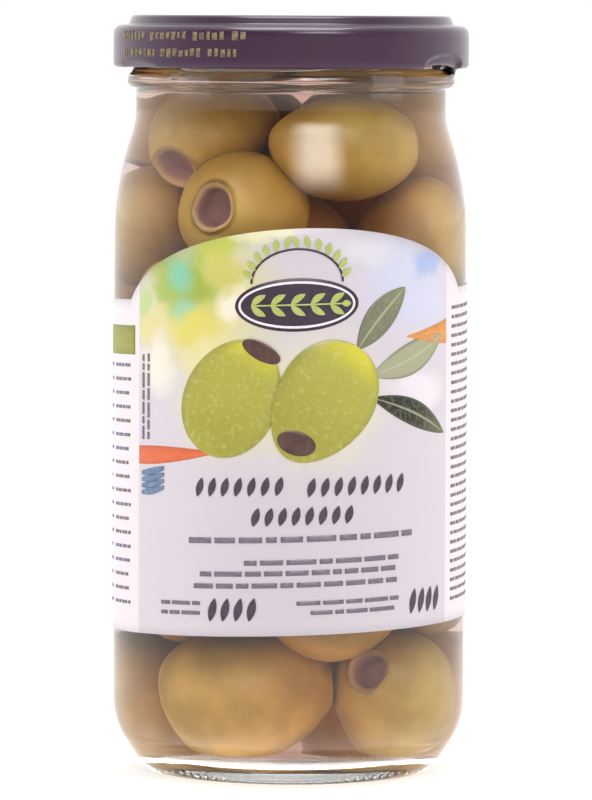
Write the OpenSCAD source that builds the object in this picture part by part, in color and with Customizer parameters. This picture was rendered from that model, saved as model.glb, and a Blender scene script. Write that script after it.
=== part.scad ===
// Round glass jar with a pressed steel twist-off cap, a paper wrap label and its contents.
// Millimetres, +Z up, origin at the middle of the base, label front towards -Y.

/* [Glass jar] */
// Height of the glass from its foot to its rim
jar_h = 141.75; // [120:0.05:175]
// Diameter of the straight body
body_d = 66.2; // [62:0.1:84]
// Thickness of the body wall
wall = 2.4; // [1.6:0.1:3.2]
// Bore of the mouth
mouth_d = 53; // [42:0.1:56]
// Thickness of the neck under the transfer bead
neck_wall = 2.65; // [2:0.05:3.5]
// Distance from the rim down to where the shoulder leaves the neck
neck_drop = 17.15; // [16:0.05:26]
// Radius of the hollow curve where the neck meets the shoulder
neck_round = 14; // [8:0.5:24]
// Radius of the rounded shoulder above the body
shoulder_round = 60; // [30:1:80]
// Height of the heel, where the body draws in to the foot
heel_h = 13.7; // [11.5:0.1:20]
// Radius of the curve at the top of the heel
heel_round = 14; // [8:0.5:18]
// Radius of the curve from the heel into the foot
foot_round = 4.5; // [3:0.1:7]
// Distance from the side of the body in to the flat ring that the jar stands on
foot_inset = 8.7; // [6:0.1:11]
// Width of that flat ring
foot_flat = 2.5; // [1:0.1:4]
// Height of the hollow under the base
push_up = 2.2; // [1:0.1:4]
// Thickness of the glass floor beside the heel
floor_t = 3.8; // [3.4:0.1:8]
// Radius inside, where the wall meets the floor
inside_round = 10; // [4:0.5:14]

/* [Screw finish] */
// Thickness of the glass wall behind the threads
finish_wall = 3.1; // [2.6:0.05:3.8]
// Height of the threads over that wall
thread_out = 1.7; // [1.2:0.05:2]
// Half the height of a thread where it leaves the wall
thread_half = 1.2; // [0.8:0.1:1.5]
// Number of threads, and of lugs on the cap
lug_n = 3; // [3:1:6]
// Drop from the rim to the middle of a thread's lower end
thread_low = 9.95; // [9:0.05:11]
// Rise of each thread along its length
thread_rise = 4; // [2:0.1:4.4]
// Height of the transfer bead over the same wall
bead_out = 1.2; // [0.8:0.05:2]
// Drop from the rim to the middle of the bead
bead_drop = 11.95; // [11:0.05:15]
// Half the height of the bead
bead_half = 1.5; // [0.8:0.1:2]
// Extra thickness of the collar over the bead, to each side
collar_step = 0.4; // [0.2:0.1:0.6]
// Rounding of the rim, inside and out
rim_round = 0.9; // [0.4:0.1:1.2]
// Turn from a lug to the lower end of the next thread
thread_lag = 10; // [8:1:14]

/* [Cap] */
// Thickness of the steel sheet
sheet_t = 0.25; // [0.2:0.01:0.4]
// Overall height of the cap
cap_h = 9.8; // [9:0.1:11.5]
// Clearance between the threads and the skirt
skirt_gap = 1.8; // [1.2:0.1:2.6]
// Depth that the centre of the cap is pressed in
panel_drop = 0.9; // [0.4:0.1:1.6]
// Clearance between the pressed-in panel and the bore
panel_gap = 1.3; // [0.8:0.1:2]
// Reach of the raised ring past the finish
ring_gap = 0.5; // [0.4:0.05:0.8]
// Rounding of the raised ring
ring_round = 0.9; // [0.6:0.05:1.1]
// Drop from the top to the ledge around the raised ring
ledge_drop = 1.8; // [1.6:0.05:2.2]
// Rounding from the ledge into the skirt
corner_r = 1.7; // [1:0.05:2]
// Radius of the rolled edge of the skirt
curl_r = 0.9; // [0.6:0.05:1.1]
// Width of each lug along the skirt
lug_w = 14; // [10:0.5:17]
// Height that each lug lifts the edge of the skirt
lug_lift = 1.6; // [1:0.1:2.2]
// Direction of the first lug, from the front of the label towards +X
lug_turn = 60; // [0:1:90]

/* [Label] */
// Thickness of the paper
paper_t = 0.15; // [0.1:0.01:0.3]
// Layer of glue under the paper
glue_t = 0.03; // [0.02:0.01:0.1]
// Distance from the heel up to the lower edge at the front
label_foot = 14.8; // [6:0.1:30]
// Distance from the straight part of the top up to the shoulder
label_head = 10.3; // [4:0.1:30]
// Rise of the arched top over the straight top
arch_rise = 12.7; // [4:0.1:14]
// Width of the arch where it leaves the straight top
arch_w = 76.4; // [50:0.1:90]
// Distance from the front to the middle of the arch, along the paper
arch_shift = 2.2; // [-6:0.1:6]
// Gap between the two ends of the label at the back
label_gap = 12; // [6:0.5:30]
// Lift of the label for each millimetre along it, where it was put on askew
skew = 0.031; // [-0.05:0.001:0.05]

/* [Contents] */
// Drop from the rim to the surface of the brine
brine_drop = 11.05; // [10.5:0.05:30]
// Clearance between the contents and the glass
fill_gap = 0.04; // [0.02:0.01:0.2]

/* [Hidden] */
$fn = 96;
EPS = 0.01;
FRONT = -90;
ARC_STEPS = 10;
LABEL_COLUMNS = 168;
body_r = body_d / 2;
bore_r = mouth_d / 2;
neck_r = bore_r + neck_wall;
inside_r = body_r - wall;
finish_r = bore_r + finish_wall;
thread_r = finish_r + thread_out;
bead_r = finish_r + bead_out;
foot_r = body_r - foot_inset;
neck_z = jar_h - neck_drop;
bead_z = jar_h - bead_drop;
brine_z = jar_h - brine_drop;
skirt_r = thread_r + skirt_gap + sheet_t;
cap_top = jar_h + sheet_t;
cap_base = cap_top - cap_h;
shoulder_turn = s_angle(body_r, neck_r, shoulder_round, neck_round);
shoulder_z = neck_z - (shoulder_round + neck_round) * sin(shoulder_turn);
label_r = body_r + glue_t;
label_z = heel_h + label_foot;
label_h = shoulder_z - label_head - label_z;

// Points on an arc, from angle a to angle b
function arc(c, r, a, b, n = ARC_STEPS) =
    [for (i = [0:n]) c + r * [cos(a + (b - a) * i / n), sin(a + (b - a) * i / n)]];

// S-shaped shoulder from radius low_r at the body up to high_r at the neck, which ends at height z
function s_angle(low_r, high_r, r_low, r_high) =
    acos(1 - (low_r - high_r) / (r_low + r_high));
function s_curve(low_r, high_r, r_low, r_high, z) =
    let (a = s_angle(low_r, high_r, r_low, r_high))
    concat(
        arc([low_r - r_low, z - (r_low + r_high) * sin(a)], r_low, 0, a),
        arc([high_r + r_high, z], r_high, 180 + a, 180)
    );

// Heel: an arc from the foot, a straight flank tangent to both arcs, and an arc into the body
function heel() =
    let (
        low = [foot_r, foot_round],
        high = [body_r - heel_round, heel_h],
        run = high - low,
        a = atan2(run.y, run.x) - acos((foot_round - heel_round) / norm(run))
    )
    concat(arc(low, foot_round, -90, a), arc(high, heel_round, a, 0));

// Shallow dome from the middle out to radius r, its middle `rise` above its edge at height z
function dome(r, z, rise) =
    let (
        big = (r * r + rise * rise) / (2 * rise),
        half = asin(r / big)
    )
    arc([0, z + rise - big], big, 90, 90 - half);

// Inside of the glass from the middle of the floor up to height top, `gap` clear of it
function inside(top, gap) =
    let (
        corner_x = inside_r - inside_round,
        corner = [corner_x, floor_t + inside_round]
    )
    concat(
        dome(corner_x, floor_t + gap, push_up),
        arc(corner, inside_round - gap, -90, 0),
        s_curve(inside_r - gap, bore_r - gap, shoulder_round - wall, neck_round + wall, neck_z),
        [[bore_r - gap, top]]
    );

// Outside of the glass from the middle of the hollow base up to the rim
function outside() = concat(
    dome(foot_r - foot_flat, 0, push_up),
    heel(),
    s_curve(body_r, neck_r, shoulder_round, neck_round, neck_z),
    bead(),
    finish_top()
);

// A quarter of the bead's round side, from angle a to angle b, which dies into radius root
function bead_side(root, a, b) = [
    for (i = [0:ARC_STEPS / 2])
        let (t = a + (b - a) * i / (ARC_STEPS / 2))
        [root + (bead_r - root) * cos(t), bead_z + bead_half * sin(t)]
];

// Transfer bead, a half-round ring, and the thicker collar over it
function bead() = concat(
    bead_side(neck_r, -90, 0),
    bead_side(finish_r + collar_step, 15, 90),
    [[finish_r, bead_z + bead_half + 2 * collar_step]]
);

// Straight finish and the rounded rim
function finish_top() = concat(
    arc([finish_r - rim_round, jar_h - rim_round], rim_round, 0, 90),
    arc([bore_r + rim_round, jar_h - rim_round], rim_round, 90, 180)
);

// Sheet metal: a line of points thickened by t to its right-hand side
function line_normal(p, i) =
    let (
        last = len(p) - 1,
        d = p[min(i + 1, last)] - p[max(i - 1, 0)]
    )
    [d.y, -d.x] / norm(d);
function thickened(p, t) = concat(p, [for (i = [len(p) - 1:-1:0]) p[i] + t * line_normal(p, i)]);

// One thread, which rises towards its right-hand end
module thread(start) {
    length = 360 / lug_n;
    middle = start + length / 2;
    lean = asin(thread_rise / 2 / (thread_r * sin(length / 2)));
    rotate([0, 0, middle])
        translate([0, 0, jar_h - thread_low + thread_rise / 2])
            rotate([lean, 0, 0])
                rotate([0, 0, -length / 2])
                    rotate_extrude(angle = length)
                        polygon(concat(
                            [[finish_r - 1, -thread_half - 0.4]],
                            arc([thread_r - 0.7, 0], 0.7, -80, 80, 6),
                            [[finish_r - 1, thread_half + 0.4]]
                        ));
}

module jar() {
    color([0.86, 0.93, 0.9, 0.35]) difference() {
        union() {
            rotate_extrude() polygon(concat(outside(), [[0, jar_h]]));
            for (i = [0:lug_n - 1])
                thread(FRONT + lug_turn + thread_lag + i * 360 / lug_n);
        }
        rotate_extrude() polygon(concat(inside(jar_h + EPS, 0), [[0, jar_h + EPS]]));
    }
}

// Outer line of the cap: pressed-in panel, raised ring over the rim, ledge, skirt and curl
function cap_line() =
    let (
        step = panel_drop / 2,
        panel_r = bore_r - panel_gap,
        ring_r = finish_r + ring_gap,
        ledge_z = cap_top - ledge_drop
    )
    concat(
        [[0, cap_top - panel_drop]],
        arc([panel_r - 2 * step, cap_top - panel_drop + step], step, -90, -30, 4),
        arc([panel_r, cap_top - step], step, 150, 90, 4),
        arc([ring_r - ring_round, cap_top - ring_round], ring_round, 90, 25, 5),
        arc([ring_r + ring_round, ledge_z + ring_round - 0.2], ring_round - 0.2, 205, 250, 4),
        arc([skirt_r - corner_r, ledge_z - corner_r], corner_r, 70, 0, 6),
        arc([skirt_r - curl_r, cap_base + curl_r], curl_r, 0, -250, 16)
    );

// Lug: a tongue folded in and down from the skirt
module lug(turn) {
    spread = lug_w / skirt_r * 180 / PI;
    rotate([0, 0, turn - spread / 2]) rotate_extrude(angle = spread) polygon([
        [skirt_r - sheet_t / 2, cap_base + lug_lift + 1.3],
        [skirt_r - sheet_t / 2, cap_base + lug_lift],
        [finish_r + 1.3, cap_base + 0.5],
        [finish_r + 0.9, cap_base + 0.7],
        [finish_r + 0.9, cap_base + 1.5],
        [finish_r + 1.3, cap_base + 1.5]
    ]);
}

// Round cut that lifts the edge of the skirt over a lug
module lug_arch(turn) {
    r = (lug_w * lug_w / 4 + lug_lift * lug_lift) / (2 * lug_lift);
    rotate([0, 0, turn]) translate([skirt_r - 2 * curl_r - 0.6, 0, cap_base + lug_lift - r])
        rotate([0, 90, 0]) cylinder(r = r, h = 2 * curl_r + 2);
}

module lid() {
    color([0.25, 0.17, 0.27]) {
        difference() {
            rotate_extrude() polygon(thickened(cap_line(), sheet_t));
            for (i = [0:lug_n - 1])
                lug_arch(FRONT + lug_turn + i * 360 / lug_n);
        }
        for (i = [0:lug_n - 1])
            lug(FRONT + lug_turn + i * 360 / lug_n);
    }
}

// Height of the label's edges at a distance s along the paper from the front
arch_half = arch_w / 2;
arch_long = arch_half * 1.073;
arch_tall = arch_rise / (1 - sqrt(1 - pow(arch_half / arch_long, 2)));
function ellipse_z(s) = arch_tall * sqrt(max(0, 1 - pow((s - arch_shift) / arch_long, 2)));
function label_low(s) = label_z + skew * s;
function label_high(s) = label_low(s) + label_h + max(0, ellipse_z(s) - arch_tall + arch_rise);

// One upright edge of the label: inner bottom, outer bottom, outer top, inner top
function label_column(s) =
    let (
        a = FRONT + s / label_r * 180 / PI,
        u = [cos(a), sin(a)],
        near = label_r * u,
        far = (label_r + paper_t) * u
    )
    [
        [near.x, near.y, label_low(s)],
        [far.x, far.y, label_low(s)],
        [far.x, far.y, label_high(s)],
        [near.x, near.y, label_high(s)]
    ];

module label() {
    length = 2 * PI * label_r - label_gap;
    n = LABEL_COLUMNS;
    points = [for (i = [0:n]) each label_column((i / n - 0.5) * length)];
    sides = [for (i = [0:n - 1], j = [0:3])
        let (a = 4 * i + j, b = 4 * i + (j + 1) % 4)
        each [[a, b, b + 4], [a, b + 4, a + 4]]];
    color([0.93, 0.92, 0.94])
        polyhedron(points, concat([[3, 2, 1, 0]], sides, [[4 * n, 4 * n + 1, 4 * n + 2, 4 * n + 3]]));
}

module brine() {
    color([0.6, 0.45, 0.18])
        rotate_extrude() polygon(concat(inside(brine_z, fill_gap), [[0, brine_z]]));
}

jar();
lid();
label();
brine();
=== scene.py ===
"""A jar of pitted green olives in brine: a flint glass jar, its lug cap, its paper wrap label,
the brine and the olives. Lengths are in millimetres until a mesh is made. An angle round the jar
is measured from the front, which is -Y, towards +X."""

import bpy
import numpy as np
from mathutils import Matrix, Vector


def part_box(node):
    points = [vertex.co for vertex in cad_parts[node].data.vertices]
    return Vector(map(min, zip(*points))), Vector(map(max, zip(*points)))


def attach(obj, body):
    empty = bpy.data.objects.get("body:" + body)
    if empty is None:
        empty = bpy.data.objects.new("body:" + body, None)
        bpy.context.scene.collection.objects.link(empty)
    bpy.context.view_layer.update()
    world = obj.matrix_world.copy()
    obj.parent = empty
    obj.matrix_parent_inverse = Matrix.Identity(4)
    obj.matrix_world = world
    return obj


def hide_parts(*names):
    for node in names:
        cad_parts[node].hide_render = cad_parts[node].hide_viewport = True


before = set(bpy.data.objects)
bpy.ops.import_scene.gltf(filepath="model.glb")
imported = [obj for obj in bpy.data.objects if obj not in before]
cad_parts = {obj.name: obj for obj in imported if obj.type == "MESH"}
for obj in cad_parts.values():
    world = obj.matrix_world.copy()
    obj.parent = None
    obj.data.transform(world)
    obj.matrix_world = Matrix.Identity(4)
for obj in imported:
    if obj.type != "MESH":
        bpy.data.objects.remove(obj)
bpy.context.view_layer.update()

MM = 0.001
TURN = 2 * np.pi


def high(node, axis):
    """Highest coordinate of a node of the frame along an axis, in millimetres."""
    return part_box(node)[1][axis] / MM


def low(node, axis):
    """Lowest coordinate of a node of the frame along an axis, in millimetres."""
    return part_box(node)[0][axis] / MM


# Paper of the label, and its distance from the glass
PAPER_T = 0.15
PAPER_GAP = 0.03

# Sizes that the frame gives
JAR_H = high("jar", 2)
BODY_R = high("label", 0) - PAPER_T - PAPER_GAP
CAP_TOP = high("lid", 2)
CAP_BASE = low("lid", 2)
SKIRT_R = high("lid", 0)
BRINE_Z = high("brine", 2)

# Wall, neck and foot of the jar
WALL = 2.4
INSIDE_R = BODY_R - WALL
BORE_R = 26.5
NECK_R = BORE_R + 2.65
NECK_Z = JAR_H - 17.15
NECK_ROUND = 14
SHOULDER_ROUND = 60
HEEL_H = 13.7
HEEL_ROUND = 14
FOOT_ROUND = 4.5
FOOT_R = BODY_R - 8.7
FOOT_FLAT = 2.5
PUSH_UP = 2.2
FLOOR_T = 3.8
INSIDE_ROUND = 10

# Finish: the threaded mouth
FINISH_R = BORE_R + 3.1
THREAD_OUT = 1.7
THREAD_HALF = 1.6
THREAD_LOW_Z = JAR_H - 9.95
THREAD_RISE = 4
THREADS = 3
THREAD_START = np.radians(70)
BEAD_R = FINISH_R + 1.2
BEAD_Z = JAR_H - 11.95
BEAD_HALF = 1.5
COLLAR = 0.4
RIM_ROUND = 0.9

# Cap
SHEET_T = 0.25
PANEL_DROP = 0.9
PANEL_R = BORE_R - 1.3
RING_R = FINISH_R + 0.5
RING_ROUND = 0.9
LEDGE_Z = CAP_TOP - 1.8
CORNER_R = 1.7
CURL_R = 0.9
LUGS = THREADS
LUG_W = 14
LUG_LIFT = 0.7
LUG_FOLD = 0.75
LUG_DEPTH = np.array([1.0, 0.7, 0.2])
LUG_TURN = np.radians(60)

# Label
PAPER_R = BODY_R + PAPER_GAP
LABEL_Z = HEEL_H + 14.8
LABEL_H = 61.95
ARCH_RISE = 12.7
ARCH_HALF = 38.2
ARCH_SHIFT = 2.2
LABEL_GAP = 12
SKEW = 0.031
ART_LEFT = -32.9
ART_RIGHT = 35.0
INK_T = 0.04


# ---------------------------------------------------------------- shapes


def arc(centre, radius, start, end, count):
    """Points of a circle round a centre, from one angle to another, in degrees."""
    a = np.radians(np.linspace(start, end, count + 1))
    return np.stack([centre[0] + radius * np.cos(a), centre[1] + radius * np.sin(a)], 1)


def line(start, end, step):
    """Points of a straight run, evenly spaced and no further apart than step, without its ends."""
    count = max(1, int(np.ceil(np.hypot(end[0] - start[0], end[1] - start[1]) / step)))
    t = np.linspace(0, 1, count + 1)[1:-1, None]
    return np.array(start) * (1 - t) + np.array(end) * t


def s_curve(low_r, high_r, round_low, round_high, z, count):
    """Two arcs that meet in a tangent and end upright: from radius low_r in to high_r, which it
    reaches at height z."""
    angle = np.degrees(np.arccos(1 - (low_r - high_r) / (round_low + round_high)))
    drop = (round_low + round_high) * np.sin(np.radians(angle))
    return np.concatenate([
        arc((low_r - round_low, z - drop), round_low, 0, angle, count),
        arc((high_r + round_high, z), round_high, 180 + angle, 180, count)[1:],
    ])


def dome(radius, z, rise, count):
    """Cap of a large circle from the axis out to a radius, rise above height z at the axis."""
    big = (radius**2 + rise**2) / (2 * rise)
    half = np.degrees(np.arcsin(radius / big))
    return arc((0, z + rise - big), big, 90, 90 - half, count)


def heel():
    """Foot arc and heel arc, which meet in a tangent and end upright on the body."""
    foot = np.array([FOOT_R, FOOT_ROUND])
    bend = np.array([BODY_R - HEEL_ROUND, HEEL_H])
    run = bend - foot
    lean = np.arctan2(run[1], run[0]) - np.arccos((FOOT_ROUND - HEEL_ROUND) / np.hypot(*run))
    lean = np.degrees(lean)
    foot_arc = arc(foot, FOOT_ROUND, -90, lean, 22)
    return np.concatenate([foot_arc, arc(bend, HEEL_ROUND, lean, 0, 9)[1:]])


def glass_outside():
    """Line of the outer wall, from the axis under the foot up to the rim's top."""
    wall = s_curve(BODY_R, NECK_R, SHOULDER_ROUND, NECK_ROUND, NECK_Z, 13)
    foot = heel()
    bead_low = arc((NECK_R, BEAD_Z), BEAD_HALF, -90, 0, 5)
    bead_low[:, 0] = NECK_R + (bead_low[:, 0] - NECK_R) * (BEAD_R - NECK_R) / BEAD_HALF
    collar_r = FINISH_R + COLLAR
    bead_high = arc((collar_r, BEAD_Z), BEAD_HALF, 15, 90, 5)
    bead_high[:, 0] = collar_r + (bead_high[:, 0] - collar_r) * (BEAD_R - collar_r) / BEAD_HALF
    top = (FINISH_R, JAR_H - RIM_ROUND)
    start = (FINISH_R, BEAD_Z + BEAD_HALF + 2 * COLLAR)
    return np.concatenate([
        dome(FOOT_R - FOOT_FLAT, 0, PUSH_UP, 7),
        foot,
        line(foot[-1], wall[0], 5),
        wall,
        line(wall[-1], bead_low[0], 0.8),
        bead_low,
        bead_high,
        [start],
        line(start, top, 0.27),
        arc((FINISH_R - RIM_ROUND, top[1]), RIM_ROUND, 0, 90, 5),
    ])


def inner_wall(top, gap, rows):
    """Line of the bore, from the axis over the floor up to height top, drawn in by gap."""
    bend = arc((INSIDE_R - INSIDE_ROUND, FLOOR_T + INSIDE_ROUND), INSIDE_ROUND - gap, -90, 0, 10)
    neck = s_curve(
        INSIDE_R - gap, BORE_R - gap, SHOULDER_ROUND - WALL, NECK_ROUND + WALL, NECK_Z, rows
    )
    return np.concatenate([
        dome(INSIDE_R - INSIDE_ROUND, FLOOR_T + gap, PUSH_UP, 7)[:-1],
        bend,
        line(bend[-1], neck[0], 8),
        neck,
        line(neck[-1], (BORE_R - gap, top), 1.5),
        [[BORE_R - gap, top]],
    ])


def glass_line():
    """Closed line of the glass: outer wall, rounded rim, then the bore back down to the axis."""
    rim = arc((BORE_R + RIM_ROUND, JAR_H - RIM_ROUND), RIM_ROUND, 90, 180, 5)
    bore = inner_wall(JAR_H - RIM_ROUND, 0, 12)[::-1]
    return np.concatenate([glass_outside(), rim[:-1], bore])


def bump(x):
    """Smooth hill: 1 at 0 and 0 from 1 outwards."""
    return np.where(np.abs(x) < 1, (1 - np.minimum(1, x * x)) ** 1.5, 0.0)


def smooth(x):
    """Smooth step from 0 at 0 to 1 at 1."""
    x = np.clip(x, 0, 1)
    return x * x * (3 - 2 * x)


def thread_relief(angle, z):
    """Height of the threads over the finish: three ridges, each rising along a third of a turn and
    run out to nothing at both ends."""
    part = ((angle - THREAD_START) / (TURN / THREADS)) % 1
    run_out = 0.12
    ends = smooth(part / run_out) * smooth((1 - part) / run_out)
    middle = THREAD_LOW_Z + THREAD_RISE * part
    return THREAD_OUT * ends * bump((z - middle) / THREAD_HALF)


def revolve(profile, columns, relief=None):
    """A line (radius, height) carried round the axis. The line starts and ends on the axis, where
    its points close to one pole each. relief gives what to add to radius and height."""
    angle = np.arange(columns) * TURN / columns
    radius = np.repeat(profile[1:-1, 0][:, None], columns, 1)
    height = np.repeat(profile[1:-1, 1][:, None], columns, 1)
    turn = np.repeat(angle[None, :], len(profile) - 2, 0)
    if relief:
        more_r, more_z = relief(turn, radius, height)
        radius = radius + more_r
        height = height + more_z
    ring = np.stack([radius * np.sin(turn), -radius * np.cos(turn), height], -1).reshape(-1, 3)
    points = np.concatenate([ring, [[0, 0, profile[0, 1]], [0, 0, profile[-1, 1]]]])
    rows = len(profile) - 2
    j = np.arange(columns)
    k = (j + 1) % columns
    i = np.arange(rows - 1)[:, None] * columns
    quads = np.stack([i + j, i + k, i + columns + k, i + columns + j], -1).reshape(-1, 4)
    first = len(ring) + 0 * j
    last = first + 1
    end = (rows - 1) * columns
    fans = np.concatenate([np.stack([first, k, j], 1), np.stack([last, end + j, end + k], 1)])
    return points, quads, fans


def make_piece(name, points, quads, fans=None, uv=None, values=None):
    """Mesh object from points in millimetres, four-cornered faces and three-cornered faces. uv is
    one pair for each point, and values holds named numbers, one for each point."""
    fans = np.zeros((0, 3), int) if fans is None else fans
    corners = np.concatenate([quads.ravel(), fans.ravel()]).astype(np.int32)
    sizes = np.concatenate([np.full(len(quads), 4), np.full(len(fans), 3)])
    starts = (np.cumsum(sizes) - sizes).astype(np.int32)
    mesh = bpy.data.meshes.new(name)
    mesh.vertices.add(len(points))
    mesh.vertices.foreach_set("co", (np.asarray(points, float) * MM).astype(np.float32).ravel())
    mesh.loops.add(len(corners))
    mesh.loops.foreach_set("vertex_index", corners)
    mesh.polygons.add(len(sizes))
    mesh.polygons.foreach_set("loop_start", starts)
    mesh.update(calc_edges=True)
    mesh.validate()
    mesh.shade_smooth()
    if uv is not None:
        layer = mesh.uv_layers.new(name="UVMap")
        layer.data.foreach_set("uv", np.asarray(uv)[corners].astype(np.float32).ravel())
    for key, value in (values or {}).items():
        attribute = mesh.attributes.new(key, "FLOAT", "POINT")
        attribute.data.foreach_set("value", np.asarray(value).astype(np.float32))
    piece = bpy.data.objects.new(name, mesh)
    bpy.context.scene.collection.objects.link(piece)
    return piece


def finish_piece(piece, material, node=None):
    """Gives a piece its material, its body and the node of the frame it stands for."""
    piece.data.materials.append(material)
    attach(piece, "root")
    if node:
        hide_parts(node)
    return piece


# ---------------------------------------------------------------- materials


def linear(colour):
    """sRGB hex colour as linear red, green, blue and alpha."""
    parts = np.array([int(colour[i : i + 2], 16) for i in (1, 3, 5)]) / 255
    parts = np.where(parts <= 0.04045, parts / 12.92, ((parts + 0.055) / 1.055) ** 2.4)
    return (*parts, 1.0)


def new_material(name):
    """Empty node material with its output, as (material, tree, output)."""
    material = bpy.data.materials.new(name)
    material.use_nodes = True
    tree = material.node_tree
    tree.nodes.clear()
    return material, tree, tree.nodes.new("ShaderNodeOutputMaterial")


def add(tree, kind, settings=None, **links):
    """Adds a node. settings are its properties; links fill its sockets by name, with a number, a
    hex colour or another node's socket. A socket's number is written as in0, in1 and so on."""
    node = tree.nodes.new("ShaderNode" + kind)
    for key, value in (settings or {}).items():
        setattr(node, key, value)
    for key, value in links.items():
        place = int(key[2:]) if key[:2] == "in" and key[2:].isdigit() else key.replace("_", " ")
        socket = node.inputs[place]
        if isinstance(value, bpy.types.NodeSocket):
            tree.links.new(value, socket)
        elif isinstance(value, str):
            socket.default_value = linear(value)
        else:
            socket.default_value = value
    return node


SMOOTH = {"interpolation_type": "SMOOTHSTEP"}
COLOURS = {"data_type": "RGBA"}


def coat(tree, under, over, value, low, high, least=0.0, most=1.0):
    """Lays one colour over another. Its share goes smoothly from least, where value is low, to
    most, where value is high."""
    share = add(tree, "MapRange", SMOOTH, in0=value, in1=low, in2=high, in3=least, in4=most)
    return add(tree, "Mix", COLOURS, in0=share.outputs[0], in6=under, in7=over).outputs[2]


def let_light_through(tree, shader, output, tint):
    """Shadows fall through clear glass or liquid as light tinted by it, as they do in daylight."""
    path = add(tree, "LightPath").outputs["Is Shadow Ray"]
    clear = add(tree, "BsdfTransparent", Color=tint)
    both = add(tree, "MixShader", in0=path, in1=shader, in2=clear.outputs[0])
    tree.links.new(both.outputs[0], output.inputs["Surface"])


def flint_glass():
    """Flint container glass, blown in an iron mould: faintly green, fire-polished, with slow waves
    in the wall that make reflections swim. Where brine wets the wall it hardly reflects."""
    material, tree, output = new_material("flint_glass")
    place = add(tree, "TexCoord").outputs["Object"]
    waves = add(tree, "TexNoise", Vector=place, Scale=38.0, Detail=1.0).outputs[0]
    grit = add(tree, "TexNoise", Vector=place, Scale=700.0, Detail=2.0).outputs[0]
    slow = add(tree, "Bump", Strength=0.12, Distance=0.0006, Height=waves).outputs[0]
    fine = add(tree, "Bump", Strength=0.03, Distance=0.0001, Height=grit, Normal=slow).outputs[0]
    wet = add(tree, "Attribute", {"attribute_name": "glass_wet"}).outputs["Fac"]
    mirror = add(tree, "Mix", COLOURS, in0=wet, in6="#ffffff", in7="#000000").outputs[2]
    glass = add(
        tree,
        "BsdfPrincipled",
        Base_Color="#fcfefc",
        Roughness=0.012,
        IOR=1.52,
        Transmission_Weight=1.0,
        Specular_Tint=mirror,
        Normal=fine,
    )
    let_light_through(tree, glass.outputs[0], output, "#f4f8f5")
    return material


def olive_brine():
    """Salt water that has stood on green olives: clear, amber brown in depth."""
    material, tree, output = new_material("olive_brine")
    place = add(tree, "TexCoord").outputs["Object"]
    ripples = add(tree, "TexNoise", Vector=place, Scale=90.0, Detail=1.0).outputs[0]
    still = add(tree, "Bump", Strength=0.04, Distance=0.0002, Height=ripples).outputs[0]
    liquid = add(
        tree,
        "BsdfPrincipled",
        Base_Color="#ffffff",
        Roughness=0.0,
        IOR=1.34,
        Transmission_Weight=1.0,
        Specular_Tint="#000000",
        Normal=still,
    )
    let_light_through(tree, liquid.outputs[0], output, "#fffdf8")
    depth = add(tree, "VolumeAbsorption", Density=42.0, Color=(0.72, 0.47, 0.37, 1.0))
    tree.links.new(depth.outputs[0], output.inputs["Volume"])
    return material


def cured_olive():
    """Flesh of a green olive cured in lye and brine: waxy skin, mottled straw to khaki, with tiny
    paler pores. The bore and lip where the pit was punched out are a pinkish brown: the cut flesh
    with the shade inside the hollow painted into it."""
    material, tree, output = new_material("cured_olive")
    place = add(tree, "TexCoord").outputs["Object"]
    tone = add(tree, "Attribute", {"attribute_name": "olive_tone"}).outputs["Fac"]
    pit = add(tree, "Attribute", {"attribute_name": "olive_pit"}).outputs["Fac"]
    cloud = add(tree, "TexNoise", Vector=place, Scale=95.0, Detail=3.0, Roughness=0.55).outputs[0]
    pores = add(tree, "TexVoronoi", Vector=place, Scale=900.0).outputs[0]
    skin = add(tree, "Mix", COLOURS, in0=tone, in6="#d29d44", in7="#be9d4c").outputs[2]
    skin = coat(tree, skin, "#a88236", cloud, 0.38, 0.66, 0.0, 0.75)
    skin = coat(tree, skin, "#e8cb8c", pores, 0.0, 0.16, 0.35, 0.0)
    # painted shade: the bore and lip get a pinkish brown that stands for cut flesh darkened by the
    # shade in the pit hollow
    cut_flesh_and_shade = coat(tree, "#c8a09a", "#ac8c8c", cloud, 0.4, 0.6)
    swell = add(tree, "Bump", Strength=0.25, Distance=0.0006, Height=cloud).outputs[0]
    grain = add(tree, "Bump", Strength=0.12, Distance=0.0001, Height=pores, Normal=swell)
    flesh = add(
        tree,
        "BsdfPrincipled",
        Base_Color=add(tree, "Mix", COLOURS, in0=pit, in6=skin, in7=cut_flesh_and_shade).outputs[2],
        Roughness=0.42,
        IOR=1.42,
        Subsurface_Weight=0.3,
        Subsurface_Scale=0.006,
        Subsurface_Radius=(1.0, 0.6, 0.2),
        Normal=grain.outputs[0],
    )
    tree.links.new(flesh.outputs[0], output.inputs["Surface"])
    return material


def enamelled_tinplate():
    """Tinplate with stoved plum enamel, roller-coated before the cap is pressed: deep gloss with a
    trace of orange peel. The side towards the food has a buff lacquer."""
    material, tree, output = new_material("enamelled_tinplate")
    place = add(tree, "TexCoord").outputs["Object"]
    peel = add(tree, "TexNoise", Vector=place, Scale=420.0, Detail=1.0).outputs[0]
    dust = add(tree, "TexNoise", Vector=place, Scale=60.0, Detail=4.0).outputs[0]
    inside = add(tree, "Attribute", {"attribute_name": "cap_inside"}).outputs["Fac"]
    plum = coat(tree, "#340e33", "#42203f", dust, 0.42, 0.7, 0.0, 0.3)
    skin = add(tree, "Bump", Strength=0.08, Distance=0.0002, Height=peel)
    paint = add(
        tree,
        "BsdfPrincipled",
        Base_Color=add(tree, "Mix", COLOURS, in0=inside, in6=plum, in7="#d9c6b2").outputs[2],
        Roughness=0.4,
        IOR=1.33,
        Coat_Weight=0.55,
        Coat_Roughness=0.12,
        Normal=skin.outputs[0],
    )
    tree.links.new(paint.outputs[0], output.inputs["Surface"])
    return material


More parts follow.
